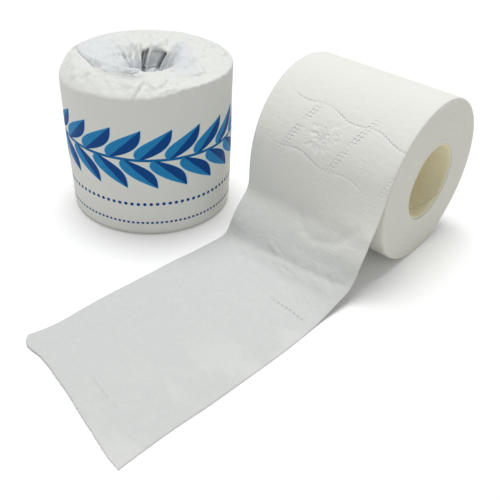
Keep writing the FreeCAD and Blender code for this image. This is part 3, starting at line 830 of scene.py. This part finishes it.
def gatheredTop(radius, height, angle):
    # The end that is gathered and tucked into the core: new radius and height, a bluish tint with painted
    # shade, and dark painted shade
    place = polar(radius, angle)
    rim = readTable(turnAway(angle, 0), rimHeight)
    roundness = 1.5 + 1.1 * bump(turnAway(angle, -140), 26)
    outer = min(max((radius - 42) / 11.8, 0.0), 1.0) ** roundness
    drop = (wrapSize["rim"] - rim) * outer * smooth(height, 40, 100.6)
    wall = smooth(radius, 20.5, 16.5)
    onTop = smooth(height, 84, 99) if radius > 30 else 1.0
    depth = max(wrapSize["top"] - height, 0.0) if radius < 21 else 0.0
    # At the left the paper slopes down into the mouth
    leftSide = bump(turnAway(angle, -172), 44)
    tucked = smooth(height, 73, 88)
    slope = leftSide * smooth(radius, 37, 15) * tucked
    drop += wrapSize["leftSlope"] * slope
    drop += wrapSize["sag"] * (1 - leftSide) * smooth(radius, 27, 17.5) * tucked
    radius -= wrapSize["leftPinch"] * leftSide * wall
    rise = topRise(place, radius) * onTop
    lump, away, share = lobeShape(place)
    rise += lobe["height"] * lump * onTop * smooth(radius, 12, 20)
    behind = smooth(share, 0.1, 0.4) * smooth(share, 1.1, 0.8) * onTop * smooth(radius, 53, 46)
    rise -= wrapSize["hollowDepth"] * bump(away - 17, 4.0) * behind
    push, paintedShade = wallPush(angle, depth)
    paintedShade *= smooth(radius, 21, 19.4)
    # Crumpled paper low in the mouth, with painted shade between its lumps
    low = smooth(radius, 15.0, 11.5) * smooth(radius, 1.5, 5)
    lumps = wobble(place.x * 0.33, place.y * 0.33, height * 0.26) * 2.4
    paintedShade = max(paintedShade * (1 - 0.8 * low), 0.16 * low * max(lumps, 0))
    # Bluish tint on the lobe, and bluish painted shade on the slope into the mouth and down its wall
    bluishTintAndShade = max(min(1.0, 1.1 * lump), 0.9 * slope, 0.85 * wall)
    # Painted shadow of the tuck's raised edge, in the hollow in front of it
    apart, part = segmentDistance(place, wrapSize["hollowStart"], wrapSize["hollowEnd"])
    paintedShade = max(paintedShade, wrapSize["hollowShade"] * bump(apart, 5.5) * smooth(part, -0.15, 0.5) * onTop)
    # Small wrinkles over the rim, most of them at the right
    shoulder = bump(height - 99.6, 3.6) * smooth(radius, 47, 51)
    shoulder *= 0.35 + 2.2 * bump(turnAway(angle, -18), 30)
    crinkle = wobble(angle * 0.2, height * 0.12, 1)
    crinkle += 0.7 * wobble(angle * 0.55, height * 0.3, 5)
    radius += wrapSize["crinkle"] * crinkle * shoulder
    rise += 0.35 * crinkle * shoulder
    height += rise * (1 - wall) - drop
    if radius > 1e-6:
        inward = (rise * wall + lumps * low) * smooth(radius, 3, 8)
        radius = max(0.0, radius + push * smooth(radius, 1, 6) - inward)
    return radius, height, bluishTintAndShade, paintedShade


def slackSide(radius, height, angle):
    # How far the slack paper of the side stands out, with the lap of the glued seam at the back
    side = smooth(height, 1.5, 14) * smooth(height, 92, 84)
    turn = radians(angle)
    slack = wobble(cos(turn) * 2.2, sin(turn) * 2.2, height * 0.022)
    fine = wobble(cos(turn) * 9, sin(turn) * 9, height * 0.05 + 4)
    out = side * (wrapSize["slack"] * slack + wrapSize["fineSlack"] * fine)
    bulge = bump(turnAway(angle, wrapSize["bulgeAngle"]), 24)
    out += wrapSize["bulge"] * bulge * smooth(height, 12, 62) * smooth(height, 97, 88)
    lap = turnAway(angle, wrapSize["seamAngle"])
    out += wrapSize["lap"] * smooth(lap, -10, -0.4) * smooth(lap, 0.7, -0.4) * smooth(height, 1, 6)
    return out


def foldedPoint(radius, height, angle):
    # Moves one point of the plain outline to where the gathered paper has it
    bluishTintAndShade, paintedShade = 0.0, 0.0
    if height > 55:
        radius, height, bluishTintAndShade, paintedShade = gatheredTop(radius, height, angle)
    elif height < 16 and radius < 30:
        # The foot's end is pleated and tucked in as well
        pleats = 0.5 + 0.5 * sin(radians(angle) * wrapSize["footPleats"] + 0.25 * (30 - radius))
        dent = smooth(radius, 2, 9) * smooth(radius, 24, 17)
        radius -= wrapSize["footDepth"] * pleats * dent
        # Bluish painted shade in the pleats' dent
        bluishTintAndShade = 0.3 * dent
    if radius > 40:
        radius += slackSide(radius, height, angle)
    moved = polar(radius, angle)
    moved.z = height
    return moved, bluishTintAndShade, paintedShade


def outlinePath():
    control = [Vector((radius, 0, height)) for radius, height in wrapOutline]
    spans = len(control) - 3
    steps = wrapSize["outlineSteps"]
    return [splinePoint(control, spans * number / steps) for number in range(steps + 1)]


def topSpacing(point):
    if point.z > 98 and point.x > 50:
        return wrapSize["topStep"] * 0.5
    if point.z > 60 and (point.x < 53.6 or point.z > 90):
        return wrapSize["topStep"]
    return wrapSize["sideStep"]


# Print: a plain wreath of two-tone leaves on a straight stem, and two rows of dots
printLook = {
    "paper": (0.865, 0.88, 0.845), "cloudy": (0.835, 0.85, 0.815), "lines": (0.62, 0.64, 0.64),
    "bluishTintAndShade": (0.80, 0.83, 0.855), "pitShade": (0.13, 0.135, 0.145), "palePitShade": (0.34, 0.35, 0.36),
    "navy": (0.002, 0.068, 0.29), "mid": (0.010, 0.225, 0.54), "band": (0.004, 0.16, 0.43),
    "veins": (0.05, 0.36, 0.72), "halo": (0.66, 0.83, 0.92),
    "stemHeight": 55.0, "stemThick": 1.9, "leafCount": 18, "leafTall": 20.0, "leafLean": 1.05,
    "leafWide": 8.5, "veinPitch": 1.9, "veinLean": 5.0, "haloWide": 0.9,
    "dotHeight": 23.5, "dotCount": 84, "dotSize": 1.15,
    "dashHeight": 9.5, "dashCount": 110, "dashTall": 0.75,
    # Directions of the gathered ends' straight folds, in radians, and how far apart they lie
    "creases": ((0.3, 11.0), (1.2, 14.0), (2.0, 12.0), (2.75, 9.5)),
}


def onEnds(x, y, inset, soft):
    # 1 on the ends, 0 on the roll's side
    reach = (x * x + y * y).math("SQRT") * metre
    return reach.below(wrapRadius - inset, soft)


def printOver(finish, look, paper, around, height):
    # The printed side; the leaves lean along the stem, so each keeps to its own leaning cell
    girth = 2 * pi * wrapRadius
    pitch = girth / look["leafCount"]
    above = height - look["stemHeight"]
    rise = abs(above) / look["leafTall"]
    shift = above.math("GREATER_THAN", 0.0) * (pitch / 2)
    cell = (around - abs(above) * look["leafLean"] + shift).repeat(pitch)
    fullness = (rise ** 0.75 * pi).math("SINE") * rise.below(1.0, 0.01)
    leafEdge = abs(cell) - fullness * look["leafWide"]
    leaf = leafEdge.below(0.0, 0.35) * rise.below(0.99, 0.03)
    glow = (leafEdge - look["haloWide"]).below(0.0, 0.8) * rise.below(1.02, 0.05)
    stem = abs(above).below(look["stemThick"] / 2, 0.3)
    veins = abs((cell + rise * look["veinLean"]).repeat(look["veinPitch"])).below(0.42, 0.4)
    veins *= cell.math("LESS_THAN", -0.5)
    lit = finish.blend(veins * 0.55, look["mid"], look["veins"])
    twoTone = finish.blend(cell.below(0.0, 0.3), look["navy"], lit)
    dotPitch, dashPitch = girth / look["dotCount"], girth / look["dashCount"]
    dotX, dotY = around.repeat(dotPitch), height - look["dotHeight"]
    dot = (dotX * dotX + dotY * dotY).math("SQRT").below(look["dotSize"], 0.3)
    dash = abs(around.repeat(dashPitch)).below(dashPitch * 0.28, 0.25)
    dash *= abs(height - look["dashHeight"]).below(look["dashTall"], 0.3)
    inked = finish.blend(glow * 0.9, paper, look["halo"])
    inked = finish.blend(stem, inked, look["band"])
    inked = finish.blend(leaf, inked, twoTone)
    return finish.blend((dot + dash).math("MINIMUM", 1.0), inked, look["navy"])


def makeWrapperFinish(look, name, printed):
    finish = Finish(bpy.data.materials.new(name))
    centred = finish.centred(tuple(-wrapCentre * mm))
    x, y, z = finish.split(centred)
    tone = finish.node("Attribute", {"attribute_name": "wrap"}, out=1)
    bluishTintAndShade, paintedShade, _ = finish.split(tone)
    cloud = finish.grain(centred, 42.0, 3.0, 0.55)
    fibre = finish.grain(centred, 900.0, 3.0, 0.6)
    # Straight folds in a few directions, each in patches of its own, on the gathered ends
    gathered = onEnds(x, y, 3.2, 5.0)
    facets, lines = 0.0, 0.0
    for number, (turn, period) in enumerate(look["creases"]):
        warp = finish.grain(centred, 48.0 + 9.0 * number, 2.0) * 9.0
        run = (x * cos(turn) + y * sin(turn) + z * 0.28) * metre + warp
        fold = abs(run.repeat(period))
        patch = finish.grain(finish.join(x, y, 0.31 * number), 62.0, 1.0).below(0.5, 0.10)
        facets = fold * patch * (1 / period) + facets
        lines = fold.below(0.16, 0.34) * patch + lines
    lines = lines.math("MINIMUM", 1.0) * gathered
    rough = finish.grain(centred, 240.0, 4.0, 0.62)
    paper = finish.blend(cloud.below(0.5, 0.3) * 0.35, look["paper"], look["cloudy"])
    # Painted shade along the straight folds and in the crinkles of the gathered ends
    paper = finish.blend(lines * 0.17 + rough.below(0.38, 0.14) * gathered * 0.12, paper, look["lines"])
    # Bluish tint with painted shade, from the mesh
    paper = finish.blend(bluishTintAndShade, paper, look["bluishTintAndShade"])
    # Dark painted shade: in the mouth's crevices, among its crumpled paper, in the hollow before the tuck's
    # edge and along that edge, speckled
    speckle = finish.grain(centred, 1500.0, 2.0, 0.7)
    pitShade = finish.blend(speckle.below(0.5, 0.25), look["pitShade"], look["palePitShade"])
    paper = finish.blend(paintedShade, paper, pitShade)
    if printed:
        inked = printOver(finish, look, paper, y.math("ARCTAN2", x) * wrapRadius, z * metre)
        paper = finish.blend(onEnds(x, y, 2.0, 0.6), inked, paper)
    relief = cloud * 0.5 + fibre * 0.03 + (facets * 1.1 + rough * 0.42 - 0.40) * gathered + rough * 0.08
    finish.surface(paper, relief, roughness=0.50 + fibre * 0.12, reflection=0.12)
    return finish


wrapperFinish = makeWrapperFinish(printLook, "wrapper", True)
flapFinish = makeWrapperFinish(printLook, "wrapperTuck", False)


def makeWrappedRoll(size):
    outline = walk(outlinePath(), topSpacing)
    mesh = spinProfile(outline, (0, 0, 1), size["rings"], closed=False, merge=0.002)
    tone = mesh.verts.layers.float_vector.new("wrap")
    for vert in mesh.verts:
        radius, angle = hypot(vert.co.x, vert.co.y), degrees(atan2(vert.co.y, vert.co.x))
        moved, bluishTintAndShade, paintedShade = foldedPoint(radius, vert.co.z, angle)
        vert[tone] = Vector((bluishTintAndShade, paintedShade, 0))
        moved.z = max(moved.z, 0.0)
        vert.co = (moved + wrapCentre) * mm
    bmesh.ops.recalc_face_normals(mesh, faces=mesh.faces)
    finishPiece(mesh, "wrappedRoll", wrapperFinish, "wrapped_roll")


makeWrappedRoll(wrapSize)


# The layer of the tuck that lies over the others: its free edge crosses the top in front of the hole
tuckLayer = {
    "from": 98.0, "to": 314.0, "columns": 216, "rows": 64, "depth": 11.0, "thickness": 0.14,
    "above": 0.16, "edgeSink": 0.75, "startSink": 0.9, "endSink": 1.2, "edgeShade": 0.34,
}
tuckEdge = [(98, 50.5), (195, 50.5), (206, 49.5), (212, 46.5), (234, 38.9), (254, 34.5), (273, 33.4),
            (292, 29.4), (306, 26.0), (314, 23.0)]
# The roll of its free edge, by angle: how high the crest just inside the edge stands
tuckLift = [(98, 0.0), (195, 0.3), (206, 0.7), (216, 1.0), (232, 1.5), (250, 2.1), (266, 2.4), (288, 2.1),
            (303, 1.1), (314, 0.0)]


def makeTuckLayer(size):
    inner = [point for point in outlinePath() if point.z > 60 and point.x < 52]
    lengths = runningLengths(inner)
    mesh = bmesh.new()
    tone = mesh.verts.layers.float_vector.new("wrap")
    bmesh.ops.create_grid(mesh, x_segments=size["columns"], y_segments=size["rows"], size=0.5)

    def atLength(wanted):
        for number in range(1, len(lengths)):
            if lengths[number] >= wanted:
                low, high = lengths[number - 1:number + 1]
                return inner[number - 1].lerp(inner[number], (wanted - low) / max(high - low, 1e-9))
        return inner[-1]

    def lengthAt(radius):
        for number, (before, after) in enumerate(zip(inner, inner[1:])):
            if after.x <= radius:
                share = (before.x - radius) / max(before.x - after.x, 1e-9)
                return lerp(lengths[number], lengths[number + 1], share)
        return lengths[-1]

    deep = next(lengths[number] for number, point in enumerate(inner)
                if point.x < 26 and point.z < wrapSize["top"] - size["depth"])
    rowsByAngle = {}
    for vert in mesh.verts:
        share, down = vert.co.x + 0.5, vert.co.y + 0.5
        angle = lerp(size["from"], size["to"], share)
        key = round(share * size["columns"])
        if key not in rowsByAngle:
            edge = readTable(angle, tuckEdge) + 0.5 * wobble(angle * 0.05, 0, 0)
            rowsByAngle[key] = (lengthAt(edge), readTable(angle, tuckLift))
        start, lift = rowsByAngle[key]
        base = atLength(lerp(start, deep, down))
        moved, _, paintedShade = foldedPoint(base.x, base.z, turnAway(angle, 0))
        inside = (deep - start) * down
        ripple = 0.25 * wobble(moved.x * 0.12, moved.y * 0.12, 9)
        crest = lift * smooth(inside, 0, 2.6) * (1 - 0.85 * smooth(inside, 3, 13))
        raised = size["above"] + crest + ripple * smooth(inside, 0, 4) * 0.5
        # Its ends sink under the paper beside them
        raised -= size["edgeSink"] * smooth(inside, 4, 0) * smooth(angle, 205, 192)
        raised -= size["startSink"] * smooth(angle, 116, 98) + size["endSink"] * smooth(angle, 303, 313)
        moved.z += raised
        inward = smooth(wrapSize["top"] - base.z, 1, 8)
        reach = hypot(moved.x, moved.y)
        if reach > 1e-6:
            moved.x *= (reach - 0.5 * inward) / reach
            moved.y *= (reach - 0.5 * inward) / reach
        # Painted shade along the free edge where it shows, more where its edge is rolled higher
        shown = smooth(angle, 203, 222) * smooth(angle, 310, 296)
        edgeShade = size["edgeShade"] * smooth(inside, 1.3, 0.2) * shown
        shaded = max(paintedShade, edgeShade, 0.05 * lift * smooth(inside, 2.8, 0.6))
        # Bluish tint with painted shade over its left part, full where it dips into the mouth
        vert[tone] = Vector((lerp(0.65 * smooth(angle, 150, 195), 1.0, inward), shaded, 0))
        vert.co = (moved + wrapCentre) * mm
    bmesh.ops.reverse_faces(mesh, faces=mesh.faces)
    layer = finishPiece(mesh, "wrapperTuckLayer", flapFinish, None)
    wall = layer.modifiers.new("paper", "SOLIDIFY")
    wall.thickness, wall.offset = size["thickness"] * mm, -1


makeTuckLayer(tuckLayer)


# Floor, lamp and world
lighting = {
    "sky": 0.36, "sun": 0.63, "sunAngle": 30.0, "sunTilt": 9.0, "sunTurn": 146.0,
    "floorSize": 3.0, "floorGlow": 0.06, "floorBounce": (0.88, 0.865, 0.83), "white": (1, 1, 1),
}


def rayKind(finish, *kinds):
    # 1 for a ray of any of these kinds
    path = finish.node("LightPath").socket.node
    seen, *others = [Wire(finish, path.outputs["Is %s Ray" % kind]) for kind in kinds]
    for ray in others:
        seen = seen.math("MAXIMUM", ray)
    return seen


def makeStage(setting):
    white = setting["white"]
    mesh = bmesh.new()
    bmesh.ops.create_grid(mesh, x_segments=1, y_segments=1, size=setting["floorSize"])
    finish = Finish(bpy.data.materials.new("floor"))
    pale = finish.node("AddShader", None, {
        0: finish.node("BsdfDiffuse", None, {"Color": white}),
        1: finish.node("Emission", None, {"Color": white, "Strength": setting["floorGlow"]}),
    })
    plain = finish.node("BsdfDiffuse", None, {"Color": setting["floorBounce"]})
    seen = rayKind(finish, "Camera", "Glossy", "Transmission")
    finish.show(finish.node("MixShader", None, {0: seen, 1: plain, 2: pale}))
    floorPiece = addMesh(mesh, "floor", finish)

    lamp = bpy.data.lights.new("softTop", "SUN")
    lamp.energy, lamp.angle = setting["sun"] * pi, radians(setting["sunAngle"])
    turned = (0, radians(setting["sunTilt"]), radians(setting["sunTurn"]))
    addObject("softTop", lamp).rotation_euler = turned

    bpy.context.scene.world = bpy.data.worlds.new("room")
    room = Finish(bpy.context.scene.world, "World")
    sky = room.node("Background", None, {"Color": white, "Strength": setting["sky"]})
    backdrop = room.node("Background", None, {"Color": white})
    seen = rayKind(room, "Camera", "Transmission")
    room.show(room.node("MixShader", None, {0: seen, 1: sky, 2: backdrop}))


makeStage(lighting)
bpy.context.scene.view_settings.view_transform = "Standard"
print("stage set")
